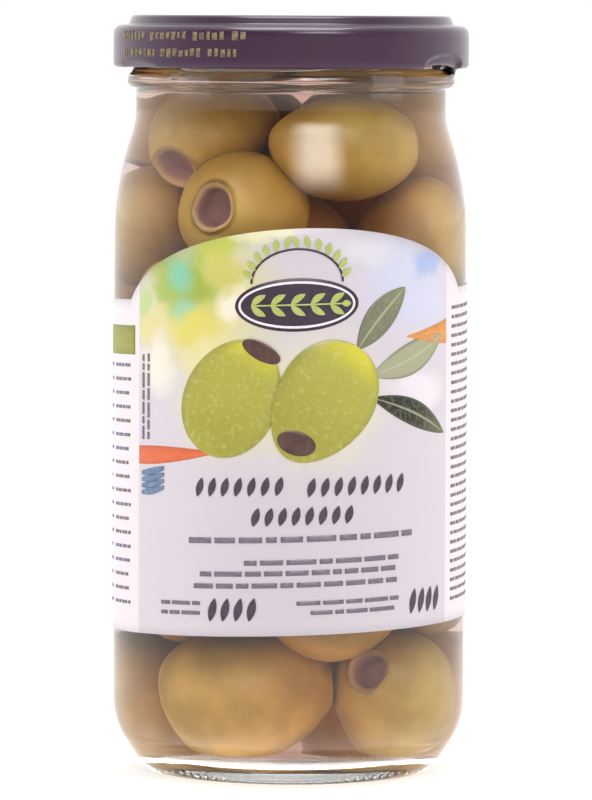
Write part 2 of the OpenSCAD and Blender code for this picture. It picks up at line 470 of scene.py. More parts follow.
WASHES = (
    # centre along the paper, height, half width, half height, colour, strength
    (-17.0, 90.0, 17.0, 15.0, "#d6cf78", 0.92),
    (-20.5, 93.5, 9.5, 8.5, "#9aaa3e", 1.0),
    (-25.0, 94.6, 4.6, 6.2, "#9db254", 0.92),
    (-21.6, 95.6, 3.6, 4.6, "#7fbf9c", 1.0),
    (-21.3, 88.6, 2.9, 2.9, "#93c4a4", 0.8625),
    (-13.8, 100.2, 5.6, 4.4, "#bfc64a", 1.0),
    (-12.5, 95.6, 4.6, 4.4, "#c6c062", 0.9775),
    (-17.6, 84.8, 6.4, 4.6, "#d6ca62", 1.0),
    (-15.8, 78.5, 5.4, 5.0, "#ddd28c", 0.92),
    (-10.4, 89.2, 4.2, 4.2, "#f4e6d6", 0.8625),
    (-31.6, 90.6, 2.1, 3.6, "#b4c984", 0.92),
    (-29.0, 85.4, 5.2, 4.4, "#d6cc86", 0.92),
    (-27.5, 78.0, 5.6, 6.0, "#efe8d2", 0.69),
    (-6.0, 103.0, 9.0, 2.6, "#eceaa6", 0.69),
    (24.0, 91.5, 11.0, 9.0, "#c6c8de", 0.92),
    (28.4, 96.4, 4.6, 3.4, "#a2b0d8", 0.9775),
    (20.2, 95.5, 4.2, 4.6, "#c4c8dc", 0.805),
    (14.0, 99.5, 7.0, 4.5, "#d8d4dc", 0.805),
    (31.0, 88.0, 4.2, 5.0, "#cac8de", 0.805),
    (26.0, 72.5, 8.5, 4.2, "#eee6ea", 0.575),
    (5.5, 71.0, 13.4, 13.4, "#e2dab4", 0.92),
    (-11.0, 72.3, 12.2, 13.0, "#e0d8aa", 0.92),
)


def label_paper():
    """Wet-strength label paper, coated on one side and printed: satin, with a faint fibre tooth.
    Soft washes of watercolour lie behind the art, each an ellipse whose edge strays by up to half
    of stray. The panels at both sides stay white."""
    material, tree, output = new_material("label_paper")
    uv = add(tree, "UVMap").outputs[0]
    swirl = add(tree, "TexNoise", Vector=uv, Scale=0.16, Detail=3.0).outputs[1]
    stray = 7.0
    shift = add(
        tree, "VectorMath", {"operation": "MULTIPLY_ADD"}, in0=swirl, in1=(stray, stray, 0.0), in2=uv
    ).outputs[0]
    colour = "#cdc4cb"
    for across, up, half_w, half_h, tint, strength in WASHES:
        spot = add(
            tree,
            "Mapping",
            {"vector_type": "TEXTURE"},
            Vector=shift,
            Location=(across + stray / 2, up + stray / 2, 0.0),
            Scale=(half_w, half_h, 1.0),
        ).outputs[0]
        far = add(tree, "VectorMath", {"operation": "LENGTH"}, in0=spot).outputs["Value"]
        colour = coat(tree, colour, tint, far, 0.3, 1.2, strength, 0.0)
    along = add(tree, "SeparateXYZ", in0=uv).outputs[0]
    middle = (ART_LEFT + ART_RIGHT) / 2
    art = add(tree, "Math", {"operation": "COMPARE"}, in0=along, in1=middle, in2=ART_RIGHT - middle)
    colour = add(tree, "Mix", COLOURS, in0=art.outputs[0], in6="#e0d7db", in7=colour).outputs[2]
    place = add(tree, "TexCoord").outputs["Object"]
    fibre = add(tree, "TexNoise", Vector=place, Scale=1500.0, Detail=3.0).outputs[0]
    mottle = add(tree, "TexNoise", Vector=place, Scale=70.0, Detail=2.0).outputs[0]
    tooth = add(tree, "Bump", Strength=0.1, Distance=0.00008, Height=fibre)
    paper = add(
        tree,
        "BsdfPrincipled",
        Base_Color=coat(tree, colour, "#d8cdd4", mottle, 0.4, 0.8, 0.0, 0.12),
        Roughness=0.46,
        IOR=1.48,
        Normal=tooth.outputs[0],
    )
    tree.links.new(paper.outputs[0], output.inputs["Surface"])
    return material


def dry_ink(tree, output, colour, roughness=0.44):
    """Ends an ink's material: it dries satin on the coated paper."""
    body = add(tree, "BsdfPrincipled", Base_Color=colour, Roughness=roughness, IOR=1.48)
    tree.links.new(body.outputs[0], output.inputs["Surface"])


def ink(name, colour, second, roughness=0.44, grain=900.0, share=0.5):
    """Offset ink on coated paper: flat satin colour, a little uneven where the paper drinks it."""
    material, tree, output = new_material(name)
    place = add(tree, "TexCoord").outputs["Object"]
    speck = add(tree, "TexNoise", Vector=place, Scale=grain, Detail=2.0).outputs[0]
    dry_ink(tree, output, coat(tree, colour, second, speck, 0.35, 0.7, 0.0, share), roughness)
    return material


def olive_ink():
    """Printed picture of a green olive: process inks from lime at the crown to khaki at the edges,
    with a yellow blush towards the stalk."""
    material, tree, output = new_material("olive_ink")
    along, across, _ = add(tree, "SeparateXYZ", in0=add(tree, "UVMap").outputs[0]).outputs
    place = add(tree, "TexCoord").outputs["Object"]
    speck = add(tree, "TexNoise", Vector=place, Scale=1100.0, Detail=2.0).outputs[0]
    cloud = add(tree, "TexNoise", Vector=place, Scale=160.0, Detail=2.0).outputs[0]
    edge = add(tree, "Math", {"operation": "ABSOLUTE"}, in0=across).outputs[0]
    colour = coat(tree, "#9c9630", "#a9a43c", along, 0.05, 0.75)
    colour = coat(tree, colour, "#cfc52e", along, 0.72, 0.98)
    colour = coat(tree, colour, "#9d9740", edge, 0.62, 1.0, 0.0, 0.65)
    colour = coat(tree, colour, "#a9a644", cloud, 0.45, 0.7, 0.0, 0.45)
    dry_ink(tree, output, coat(tree, colour, "#cfcf7a", speck, 0.5, 0.75, 0.0, 0.3))
    return material


def leaf_ink():
    """Printed olive leaf: grey green, speckled, with a pale rib down the middle."""
    material, tree, output = new_material("leaf_ink")
    along, across, _ = add(tree, "SeparateXYZ", in0=add(tree, "UVMap").outputs[0]).outputs
    tone = add(tree, "Attribute", {"attribute_name": "film_tone"}).outputs["Fac"]
    place = add(tree, "TexCoord").outputs["Object"]
    speck = add(tree, "TexNoise", Vector=place, Scale=1300.0, Detail=2.0).outputs[0]
    edge = add(tree, "Math", {"operation": "ABSOLUTE"}, in0=across).outputs[0]
    colour = add(tree, "Mix", COLOURS, in0=tone, in6="#1a180a", in7="#a4a483").outputs[2]
    colour = coat(tree, colour, "#8a8f62", along, 0.5, 1.0, 0.0, 0.4)
    colour = coat(tree, colour, "#a0a080", speck, 0.42, 0.7, 0.0, 0.2)
    colour = coat(tree, colour, "#b9b892", edge, 0.03, 0.14, 0.6, 0.0)
    dry_ink(tree, output, coat(tree, colour, "#5d5f47", edge, 0.7, 1.0, 0.0, 0.5))
    return material


def studio_paper():
    """Matt white opal board with a faint tooth, lit a little from beneath. Seen through the glass
    of the foot it glows, as it does over a lit table."""
    material, tree, output = new_material("studio_paper")
    place = add(tree, "TexCoord").outputs["Object"]
    tooth = add(tree, "TexNoise", Vector=place, Scale=220.0, Detail=2.0).outputs[0]
    away = add(tree, "VectorMath", {"operation": "LENGTH"}, in0=place).outputs["Value"]
    glow = 0.34
    under = add(tree, "MapRange", SMOOTH, in0=away, in1=0.028, in2=0.042, in3=1.9, in4=glow)
    path = add(tree, "LightPath").outputs["Is Transmission Ray"]
    lit = add(tree, "Mix", {"data_type": "FLOAT"}, in0=path, in2=glow, in3=under.outputs[0])
    board = add(
        tree,
        "BsdfPrincipled",
        Base_Color=coat(tree, "#f0efef", "#f3f2f2", tooth, 0.3, 0.7),
        Roughness=0.9,
        Emission_Color="#ffffff",
        Emission_Strength=lit.outputs[0],
    )
    tree.links.new(board.outputs[0], output.inputs["Surface"])
    return material


# ---------------------------------------------------------------- jar, brine and cap


def jar_glass():
    """The jar: its line carried round, plus the three threads, a bearing ring of a hundred short
    radial bars under the heel, and a wall that is out of round by a few hundredths. The bore's
    glass_wet is 1 along the body, a third at the floor and in the neck, whose glass still mirrors
    a little, and 0 above the brine."""
    columns = 400
    profile = glass_line()
    outer = np.arange(len(profile) - 2) < len(glass_outside()) - 1

    def relief(turn, radius, z):
        threads = thread_relief(turn, z) * (radius > FINISH_R - 0.2) * (z > THREAD_LOW_Z - 3)
        bars = 0.16 * np.sin(100 * turn) * bump((z - 0.9) / 0.9) * (radius > FOOT_R)
        waves = 0.05 * np.sin(3 * turn + z / 17) + 0.03 * np.sin(5 * turn - z / 9)
        return outer[:, None] * (threads + bars + waves * bump((z - 62) / 60)), 0 * z

    points, quads, fans = revolve(profile, columns, relief)
    z = profile[1:-1, 1]
    least = 0.35
    body = smooth((z - FLOOR_T - 5) / 4) * smooth((NECK_Z + 3 - z) / 2)
    wet = ~outer * (z < BRINE_Z) * (least + (1 - least) * body)
    wet = np.concatenate([np.repeat(wet, columns), [0, 1]])
    piece = make_piece("jar_glass", points, quads, fans, values={"glass_wet": wet})
    return finish_piece(piece, flint_glass(), "jar")


def brine_liquid():
    """The brine: the bore's line let 0.3 mm into the glass, and a level top that climbs the wall by
    a millimetre, falling off as an exponential."""
    seat = -0.3
    climb = 1.0
    wall = inner_wall(BRINE_Z + climb, seat, 12)
    reach = (BORE_R - seat) * np.linspace(0, 1, 20)[1:] ** 2
    top = np.stack([BORE_R - seat - reach, BRINE_Z + climb * np.exp(-reach / 1.5)], 1)
    points, quads, fans = revolve(np.concatenate([wall, top]), 240)
    piece = make_piece("brine_liquid", points, quads, fans)
    return finish_piece(piece, olive_brine(), "brine")


def cap_line():
    """Outer line of the cap: pressed-in panel with a raised button in its middle, raised ring,
    ledge, skirt and outward curl."""
    step = PANEL_DROP / 2
    floor_z = CAP_TOP - PANEL_DROP
    button_r = 9.0
    button_z = floor_z + 0.35
    return np.concatenate([
        [[0, button_z]],
        arc((button_r - 1.2, button_z - 0.9), 0.9, 90, 50, 5),
        arc((button_r + 0.6, button_z), 0.35, 225, 270, 3),
        line((button_r + 0.6, floor_z), (PANEL_R - 2 * step, floor_z), 3.0),
        arc((PANEL_R - 2 * step, floor_z + step), step, -90, -30, 4),
        arc((PANEL_R, CAP_TOP - step), step, 150, 90, 4),
        arc((RING_R - RING_ROUND, CAP_TOP - RING_ROUND), RING_ROUND, 90, 25, 6),
        arc((RING_R + RING_ROUND, LEDGE_Z + RING_ROUND - 0.2), RING_ROUND - 0.2, 205, 250, 5),
        arc((SKIRT_R - CORNER_R, LEDGE_Z - CORNER_R), CORNER_R, 70, 0, 8),
        line((SKIRT_R, LEDGE_Z - CORNER_R), (SKIRT_R, CAP_BASE + CURL_R), 0.5),
        arc((SKIRT_R - CURL_R, CAP_BASE + CURL_R), CURL_R, 0, -250, 16),
    ])


def thickened(path, thickness):
    """A line and its copy set in by a sheet's thickness, joined at the far end."""
    run = np.gradient(path, axis=0)
    length = np.maximum(np.hypot(run[:, 0], run[:, 1]), 1e-9)
    inner = path + thickness * np.stack([run[:, 1], -run[:, 0]], 1) / length[:, None]
    inner[0, 0] = 0
    return np.concatenate([path, inner[::-1]])


def lug_cap():
    """The cap: sheet carried round. At each of three lugs the curl is lifted along a low arch and
    folded inwards under it. The lift fades out over the skirt's lowest 4.5 mm, and each lug has a
    depth of its own."""
    columns = 360
    profile = thickened(cap_line(), SHEET_T)

    def relief(turn, radius, z):
        third = TURN / LUGS
        away = ((turn - LUG_TURN + third / 2) % third) - third / 2
        number = np.floor((turn - LUG_TURN) / third + 0.5).astype(int) % LUGS
        arch = np.maximum(0, 1 - (away * SKIRT_R / (LUG_W / 2)) ** 2) ** 0.8
        lug = arch * LUG_DEPTH[number]
        edge = smooth((CAP_BASE + 4.5 - z) / 4.0)
        fold = smooth((CAP_BASE + 1.0 + 1.5 * lug - z) / 0.7) * smooth(lug / 0.3)
        return -LUG_FOLD * fold * (radius > FINISH_R + 0.2), LUG_LIFT * lug * edge

    points, quads, fans = revolve(profile, columns, relief)
    inside = np.arange(1, len(profile) - 1) > len(cap_line()) + 2
    inside = np.concatenate([np.repeat(inside, columns), [0, 1]])
    piece = make_piece("cap", points, quads[:, ::-1], fans[:, ::-1], values={"cap_inside": inside})
    return finish_piece(piece, enamelled_tinplate(), "lid")


# ---------------------------------------------------------------- olives


OLIVE_R = 10.3
OLIVE_HALF = 3.0
OLIVE_COUNT = 33
OLIVE_WAVE = 0.6
OLIVE_COLUMNS = 44
BORE_ROWS = 10
LIP_ROWS = 5
SKIN_ROWS = 26
PIT_R = 3.2
PIT_DEPTH = 6.0
PIT_LIP = 1.0
SETTLE_STEPS = 600

# Olives against the front of the glass: place, direction of the pit hole, radius, half length
FRONT_OLIVES = (
    ((-12.4, -5.4, 119.8), (-0.60, -0.62, -0.56), 9.0, 3.9),
    ((-8.2, -15.8, 105.2), (-0.52, -0.84, 0.12), 10.0, 2.0),
    ((9.0, -13.6, 117.2), (0.9, 0.43, 0.0), 9.7, 3.3),
    ((21.5, -2.0, 99.0), (-0.2, 0.6, -0.8), 9.4, 3.2),
    ((-20.0, 4.0, 101.5), (0.1, 0.9, -0.4), 9.4, 3.0),
    ((-9.6, -17.2, 15.8), (0.96, 0.26, 0.05), 11.0, 4.0),
    ((17.2, -8.6, 15.4), (-0.3, -0.86, 0.38), 10.4, 2.2),
    ((7.6, -17.8, 32.6), (0.95, 0.2, 0.2), 9.4, 2.0),
    ((-18.0, -8.5, 37.0), (-0.3, 0.5, 0.8), 9.6, 2.8),
)

# Places that stay open between them: middle and radius
OPEN_PLACES = (
    ((-13.0, -19.5, 121.5), 6.5),
    ((-3.0, -20.0, 122.5), 4.0),
    ((13.0, -20.5, 104.5), 6.5),
    ((24.0, -16.0, 108.0), 4.5),
    ((6.0, -22.5, 20.0), 4.5),
)


def settle(rng):
    """Places, directions and sizes of the olives: each is three balls in a row, and the rows push
    each other, the glass and the open places away, a little at a time, until they lie side by side.
    The ones in front stay where they are, and the others start on a loose spiral."""
    pinned = len(FRONT_OLIVES)
    free = OLIVE_COUNT - pinned
    golden_turn = 2.4
    angle = np.arange(free) * golden_turn
    reach = np.where(np.arange(free) % 3 == 0, 3.0, 17.0)
    height = np.linspace(20, 118, free)
    loose = np.stack([reach * np.sin(angle), 4 + reach * np.cos(angle), height], 1)
    place = np.concatenate([[o[0] for o in FRONT_OLIVES], loose + rng.normal(0, 1.5, loose.shape)])
    way = np.concatenate([[o[1] for o in FRONT_OLIVES], rng.normal(0, 1, (free, 3))])
    way /= np.linalg.norm(way, axis=1)[:, None]
    size = np.concatenate([[o[2] for o in FRONT_OLIVES], OLIVE_R + rng.uniform(-0.5, 0.5, free)])
    half = np.concatenate([[o[3] for o in FRONT_OLIVES], OLIVE_HALF + rng.uniform(-0.8, 0.6, free)])
    hold = np.where(np.arange(OLIVE_COUNT) < pinned, 0.0, 1.0)[:, None]
    ball = np.array([-1.0, 0.0, 1.0])
    open_middle = np.array([o[0] for o in OPEN_PLACES])
    open_r = np.array([o[1] for o in OPEN_PLACES])
    wall = inner_wall(JAR_H, 0, 12)
    wall = wall[wall[:, 1] > FLOOR_T + PUSH_UP + 1]
    floor_r = INSIDE_R - INSIDE_ROUND
    skin = (1.05 * size + OLIVE_WAVE)[:, None]
    for _ in range(SETTLE_STEPS):
        # balls of every olive against those of every other one
        balls = place[:, None] + ball[None, :, None] * (half[:, None] * way)[:, None]
        gap = balls[:, None, :, None] - balls[None, :, None, :]
        far = np.maximum(np.linalg.norm(gap, axis=-1), 1e-6)
        over = np.maximum(0, (size[:, None] + size[None, :])[..., None, None] - far)
        over *= (1 - np.eye(OLIVE_COUNT))[..., None, None]
        push = (gap / far[..., None]) * over[..., None]
        # balls against the open places
        apart = balls[:, :, None] - open_middle[None, None]
        clear = np.maximum(np.linalg.norm(apart, axis=-1), 1e-6)
        near = np.maximum(0, size[:, None, None] + open_r[None, None] - clear)
        push = push.sum((1, 3)) / 4.4 + ((apart / clear[..., None]) * near[..., None]).sum(2) / 2
        strength = hold[:, None] * push
        # balls against the wall, the domed floor and the brine's level
        radius = np.maximum(np.hypot(balls[..., 0], balls[..., 1]), 1e-6)
        room = np.interp(balls[..., 2], wall[:, 1], wall[:, 0]) - skin
        out = np.maximum(0, radius - room) / radius
        strength[..., 0] -= out * balls[..., 0]
        strength[..., 1] -= out * balls[..., 1]
        floor_z = FLOOR_T + PUSH_UP * np.maximum(0, 1 - (radius / floor_r) ** 2)
        strength[..., 2] += np.maximum(0, floor_z + skin - balls[..., 2])
        strength[..., 2] -= np.maximum(0, balls[..., 2] + skin - BRINE_Z - 0.6)
        # the mean push moves an olive, and the difference between its ends turns it
        place = place + np.clip(strength.mean(1), -1.5, 1.5)
        twist = (strength[:, 2] - strength[:, 0]) / (2 * half[:, None] + 4)
        way = way + 0.5 * hold * twist
        way /= np.linalg.norm(way, axis=1)[:, None]
    return place, way, size, half


def olive_line(r, h, hole):
    """Line of an olive of radius r and half length h, and how much each of its points shows cut
    flesh with painted shade of the hollow. A bore with a round bottom rises to a rounded lip, and
    the skin is an ellipse, plumper at its waist and slimmer towards the hole."""
    mouth = np.arcsin((hole + PIT_LIP) / r)
    top = h * np.cos(mouth)
    a = np.linspace(mouth, np.pi, SKIN_ROWS + 1)[:-1]
    plump = (1 + 0.05 * np.sin(a) ** 2) * (1 - 0.035 * np.cos(a))
    skin = np.stack([r * np.sin(a) * plump, h * np.cos(a)], 1)
    b = np.linspace(0, 1, LIP_ROWS)
    lip = np.stack([hole + PIT_LIP * b**1.5, top - PIT_LIP * (1 - b) ** 1.8], 1)
    c = np.linspace(1, 0, BORE_ROWS)
    bottom = np.sqrt(np.clip(1 - (np.clip(c - 0.6, 0, 1) / 0.42) ** 2, 0.02, 1))
    throat = 1.2
    bore = np.stack([hole * bottom, top - throat - (PIT_DEPTH - throat) * c], 1)
    # share of cut flesh with painted shade: all of it in the bore, less over the lip, a trace at the
    # mouth
    cut_flesh_and_shade = [np.ones(BORE_ROWS), np.linspace(0.7, 0.15, LIP_ROWS), 0.12 * bump((a - mouth) / 0.12)]
    return np.concatenate([bore, lip, skin]), np.concatenate(cut_flesh_and_shade)


def olive_waves(phases, turn, along):
    """Unevenness of an olive's skin: four slow waves, round it and along it."""
    return (
        0.30 * np.sin(2 * turn + phases[0] + along / 9)
        + 0.20 * np.sin(3 * turn + phases[1] - along / 6)
        + 0.10 * np.sin(5 * turn + phases[2] + along / 4)
        + 0.16 * np.sin(along / 3.1 + phases[3] + turn)
    )


def olives_piece():
    """All the olives in one mesh: for each, its line carried round its own axis and closed with a
    pole at both ends. Six phases are drawn for each, so that the draws after them stay in step."""
    rng = np.random.default_rng(7)
    place, way, size, half = settle(rng)
    turn = np.arange(OLIVE_COLUMNS) * TURN / OLIVE_COLUMNS
    rows = BORE_ROWS + LIP_ROWS + SKIN_ROWS
    count = rows * OLIVE_COLUMNS + 2
    i = np.arange(rows - 1)[:, None] * OLIVE_COLUMNS
    j = np.arange(OLIVE_COLUMNS)
    k = (j + 1) % OLIVE_COLUMNS
    below = i + OLIVE_COLUMNS
    one_quads = np.stack([i + j, below + j, below + k, i + k], -1).reshape(-1, 4)
    end = (rows - 1) * OLIVE_COLUMNS
    one_fans = np.concatenate([
        np.stack([0 * j + count - 2, j, k], 1),
        np.stack([0 * j + count - 1, end + k, end + j], 1),
    ])
    points = []
    tone = []
    pit = []
    for number in range(OLIVE_COUNT):
        h = half[number] + size[number]
        path, cut_flesh_and_shade = olive_line(size[number], h, PIT_R * rng.uniform(0.9, 1.15))
        phases = rng.uniform(0, TURN, 6)
        across = path[:, :1] + 0 * turn
        along = path[:, 1:] + 0 * turn
        across = across + olive_waves(phases, turn, along) * smooth(across / 7)
        z_axis = way[number]
        side = np.cross(z_axis, [0.3, 0.2, 0.93] if abs(z_axis[2]) < 0.8 else [1.0, 0.1, 0])
        side /= np.linalg.norm(side)
        other = np.cross(z_axis, side)
        spoke = np.cos(turn)[:, None] * side + np.sin(turn)[:, None] * other
        ring = across[..., None] * spoke + along[..., None] * z_axis
        poles = np.array([path[0, 1] * z_axis, -h * z_axis])
        points.append(place[number] + np.concatenate([ring.reshape(-1, 3), poles]))
        tone.append(np.full(count, rng.uniform(0, 1)))
        pit.append(np.concatenate([np.repeat(cut_flesh_and_shade, OLIVE_COLUMNS), [1.0, 0.0]]))
    first = np.arange(OLIVE_COUNT)[:, None, None] * count
    piece = make_piece(
        "olives",
        np.concatenate(points),
        (one_quads + first).reshape(-1, 4),
        (one_fans + first).reshape(-1, 3),
        values={"olive_tone": np.concatenate(tone), "olive_pit": np.concatenate(pit)},
    )
    return finish_piece(piece, cured_olive())


# ---------------------------------------------------------------- label and print


def arch_z(along):
    """Height of the arched top edge over the label's square part: the top of an ellipse 7% wider
    than the arch."""
    long = ARCH_HALF * 1.073
    tall = ARCH_RISE / (1 - np.sqrt(1 - (ARCH_HALF / long) ** 2))
    ellipse = tall * np.sqrt(np.maximum(0, 1 - ((along - ARCH_SHIFT) / long) ** 2))
    return np.maximum(0, ellipse - tall + ARCH_RISE)


def wrap(along, z, lift, radius=PAPER_R, skew=SKEW):
    """Point on a cylinder: a distance along it from the front, a height, and a lift off it. The
    label went on slightly askew, so its heights climb along the paper."""
    turn = along / radius
    r = radius + lift
    return np.stack([r * np.sin(turn), -r * np.cos(turn), z + skew * along], -1)


def slab(lower, upper):
    """Closed thin sheet between two grids of points of the same shape: both faces and the border.
    Returns points and four-cornered faces."""
    n, m = lower.shape[:2]
    grid = np.arange(n * m).reshape(n, m)
    cells = np.stack([grid[:-1, :-1], grid[1:, :-1], grid[1:, 1:], grid[:-1, 1:]], -1).reshape(-1, 4)
    ring = np.concatenate([grid[:, 0], grid[-1, 1:], grid[-2::-1, -1], grid[0, -2:0:-1]])
    after = np.roll(ring, -1)
    shift = n * m
    border = np.stack([ring, after, after + shift, ring + shift], 1)
    faces = np.concatenate([cells[:, ::-1], cells + shift, border])
    return np.concatenate([lower.reshape(-1, 3), upper.reshape(-1, 3)]), faces


def label_wrap():
    """The wrap label: one sheet round the body, straight below and arched at the front, with its
    ends apart at the back. Its columns are finer at both feet of the arch."""
    reach = np.pi * PAPER_R - LABEL_GAP / 2
    along = np.unique(np.concatenate([
        np.linspace(-reach, reach, 260),
        np.linspace(ARCH_SHIFT - ARCH_HALF - 1, ARCH_SHIFT - ARCH_HALF + 5, 25),
        np.linspace(ARCH_SHIFT + ARCH_HALF - 5, ARCH_SHIFT + ARCH_HALF + 1, 25),
    ]))[:, None]
    share = np.linspace(0, 1, 24)[None, :]
    z = LABEL_Z + share * (LABEL_H + arch_z(along))
    along = along + 0 * share
    points, quads = slab(wrap(along, z, 0), wrap(along, z, PAPER_T))
    uv = np.tile(np.stack([along, z], -1).reshape(-1, 2), (2, 1))
    piece = make_piece("label_wrap", points, quads, uv=uv)
    return finish_piece(piece, label_paper(), "label")


def blade(start, end, half_width, bow=0.0, tip=1.0, round_ends=False, shift=0.0):
    """Patch of print along a line bowed sideways: its half width is a sine along the line raised to
    tip. With round ends it is a half ellipse, whose widest place shift moves along the line.
    Returns the grid and its share along and across."""
    t = (1 - np.cos(np.linspace(0, np.pi, 25))) / 2
    q = np.linspace(-1, 1, 9)
    start = np.array(start, float)
    end = np.array(end, float)
    run = (end - start) / np.linalg.norm(end - start)
    side = np.array([-run[1], run[0]])
    if round_ends:
        x = 2 * t - 1
        width = half_width * np.sqrt(np.maximum(0, 1 - x**2)) * (1 + shift * x)
    else:
        width = half_width * np.sin(np.pi * t) ** tip
    width = np.maximum(width, 0.02)
    middle = start + t[:, None] * (end - start) + (bow * np.sin(np.pi * t))[:, None] * side
    grid = middle[:, None] + (width[:, None] * q)[..., None] * side
    return grid, np.stack(np.broadcast_arrays(t[:, None], q[None, :]), -1)


def bar(left, right, z, height, upright=False):
    """Straight patch of print between two ends, at a height, of a given thickness."""
    count = max(2, int(abs(right - left) / 1.2) + 2)
    t = np.linspace(left, right, count)[:, None] + np.zeros((1, 2))
    q = z + height / 2 * np.array([[-1.0, 1.0]]) + 0 * t
    grid = np.stack([q, t], -1)[:, ::-1] if upright else np.stack([t, q], -1)
    share = np.stack(np.broadcast_arrays(np.linspace(0, 1, count)[:, None], [[-1.0, 1.0]]), -1)
    return grid, share


def film(
    name, patches, material, lift, radius=PAPER_R, skew=SKEW, tones=None
):
    """Print: thin closed patches that lie on the paper, or on the cap's skirt. Each can have a tone
    of its own."""
    points = []
    faces = []
    uv = []
    tone = []
    base = 0
    for number, (grid, share) in enumerate(patches):
        a = grid[..., 0]
        z = grid[..., 1]
        under = wrap(a, z, lift - INK_T / 2, radius, skew)
        p, f = slab(under, wrap(a, z, lift + INK_T / 2, radius, skew))
        points.append(p)
        faces.append(f + base)
        uv.append(np.tile(share.reshape(-1, 2), (2, 1)))
        tone.append(np.full(len(p), tones[number] if tones else 0.0))
        base += len(p)
    piece = make_piece(
        name,
        np.concatenate(points),
        np.concatenate(faces),
        uv=np.concatenate(uv),
        values={"film_tone": np.concatenate(tone)},
    )
    return finish_piece(piece, material)


def word_bars(rng, left, right, z, height, shortest, longest, upright=False):
    """A row of short bars with small gaps, in place of words."""
    patches = []
    at = left
    while at < right - shortest * 0.6:
        size = min(rng.uniform(shortest, longest), right - at)
        patches.append(bar(at, at + size, z, height, upright))
        at += size + height * 0.7
    return patches


def pips(left, right, z, height, pitch, width):
    """A row of small leaves that stand nearly upright and all lean the same way."""
    count = int(round((right - left) / pitch))
    middle = left + (np.arange(count) + 0.5) * (right - left) / count
    return [blade((m - 0.5, z - height / 2), (m + 0.5, z + height / 2), width, tip=0.8) for m in middle]


def label_print():
    """Everything printed on the label: pictures of two olives and three leaves, orange bands, a
    plain sprig in a plum oval where a maker's sign would be, and bars where there would be words."""
    rng = np.random.default_rng(21)
    on_paper = PAPER_T + 0.03
    above = PAPER_T + 0.09
    top = PAPER_T + 0.15
    plum = ink("plum_ink", "#2f1b30", "#3f2a40")
    grey = ink("grey_ink", "#6f6472", "#857b88")
    dark = ink("slate_ink", "#3c3340", "#544a58")
    olive = olive_ink()
    orange = ink("orange_ink", "#d8693a", "#cc5a36")
    amber = ink("amber_ink", "#dc9440", "#cf7a3c")
    band = bowed_band((-32.8, 63.4, 60.0), (-14.6, 62.6, 62.0), 0.5)
    band_right = bowed_band((23.4, 82.6, 82.3), (34.9, 85.0, 80.4), 0.9)
    olive_left = blade((-16.7, 62.6), (-5.3, 82.2), 9.2, round_ends=True, shift=-0.10)
    olive_right = blade((-0.6, 61.2), (13.0, 80.9), 9.2, round_ends=True, shift=0.16)
    leaves = [
        blade((12.6, 80.6), (22.8, 91.6), 2.9, bow=0.5, tip=0.75),
        blade((15.6, 75.6), (33.2, 82.2), 3.0, bow=-0.5, tip=0.75),
        blade((15.6, 71.6), (34.1, 63.9), 2.4, bow=0.6, tip=0.8),
    ]
    holes = [
        blade((-8.6, 82.7), (-1.8, 78.9), 1.6, round_ends=True),
        blade((-2.2, 65.0), (4.7, 62.7), 2.2, round_ends=True),
    ]
    film("print_bands", [band], orange, on_paper)
    film("print_band_right", [band_right], amber, on_paper)
    film("print_leaves", leaves, leaf_ink(), on_paper, tones=[0.45, 0.95, 0.0])
    film("print_olive_left", [olive_left], olive, above)
    film("print_olive_right", [olive_right], olive, top)
    film("print_holes", holes, ink("hole_ink", "#4a2c28", "#6a4a38", grain=700.0), top + 0.06)

    middle = (1.3, 89.2)
    oval = [blade((-10.2, middle[1]), (12.8, middle[1]), 4.9, round_ends=True)]
    oval_line = ring_patches(middle, 10.6, 4.1, 0.22, 40)
    sprig = sprig_patches(middle, 8.4, 5) + spray_patches((1.3, 93.4), 9.2, 7.2, 13)
    stem = ring_patches((1.3, 93.2), 8.4, 6.2, 0.2, 40, half=True)
    film("print_oval", oval, plum, on_paper)
    film("print_oval_line", oval_line, ink("white_ink", "#efe9ee", "#e2dbe3"), above)
    film("print_sprig", sprig, ink("sprig_ink", "#a9b45a", "#c2c878"), top)
    film("print_spray_stem", stem, plum, above)

    title = pips(-18.4, -0.6, 56.0, 3.5, 2.5, 0.72) + pips(2.8, 23.1, 55.6, 3.5, 2.5, 0.72)
    title += pips(-7.4, 12.4, 50.4, 3.4, 2.6, 0.74)
    weights = pips(-15.7, -5.6, 33.4, 4.3, 2.5, 0.8) + pips(24.0, 32.8, 33.4, 4.6, 2.4, 0.75)
    stripes = [
        bowed_band((-31.8, z + 0.35, z - 0.35), (-25.4, z + 1.35, z + 0.65), 0.7)
        for z in (54.8, 56.0, 57.2, 58.4)
    ]
    film("print_title", title, dark, above)
    film("print_rows", front_rows(rng), grey, above)
    film("print_weight_pips", weights, dark, above)
    film("print_stripes", stripes, ink("blue_ink", "#5a7296", "#8894ac"), above)
    film("print_side_rows", side_rows(rng), grey, on_paper)
    green = ink("leaf_green_ink", "#8a8a1c", "#9c9a34")
    film("print_panel", [bar(-66.0, -34.4, 82.9, 5.4)], green, on_paper)


def front_rows(rng):
    """Rows of bars under the title, and two upright ones at the label's left edge."""
    rows = []
    for left, right, z, height in (
        (-19.4, 24.7, 46.2, 1.05),
        (-8.3, 21.5, 42.0, 0.9),
        (-17.0, 20.8, 40.0, 0.9),
        (-18.3, 22.5, 37.8, 0.9),
        (-26.0, -17.0, 34.6, 0.7),
        (-26.0, -17.0, 32.8, 0.7),
        (1.4, 21.6, 34.4, 0.75),
        (4.0, 20.6, 32.6, 0.75),
    ):
        rows += word_bars(rng, left, right, z, height, 1.6, 5.5)
    for across in (-31.4, -29.8):
        rows += word_bars(rng, 64.6, 80.6, across, 0.6, 1.2, 3.0, upright=True)
    return rows


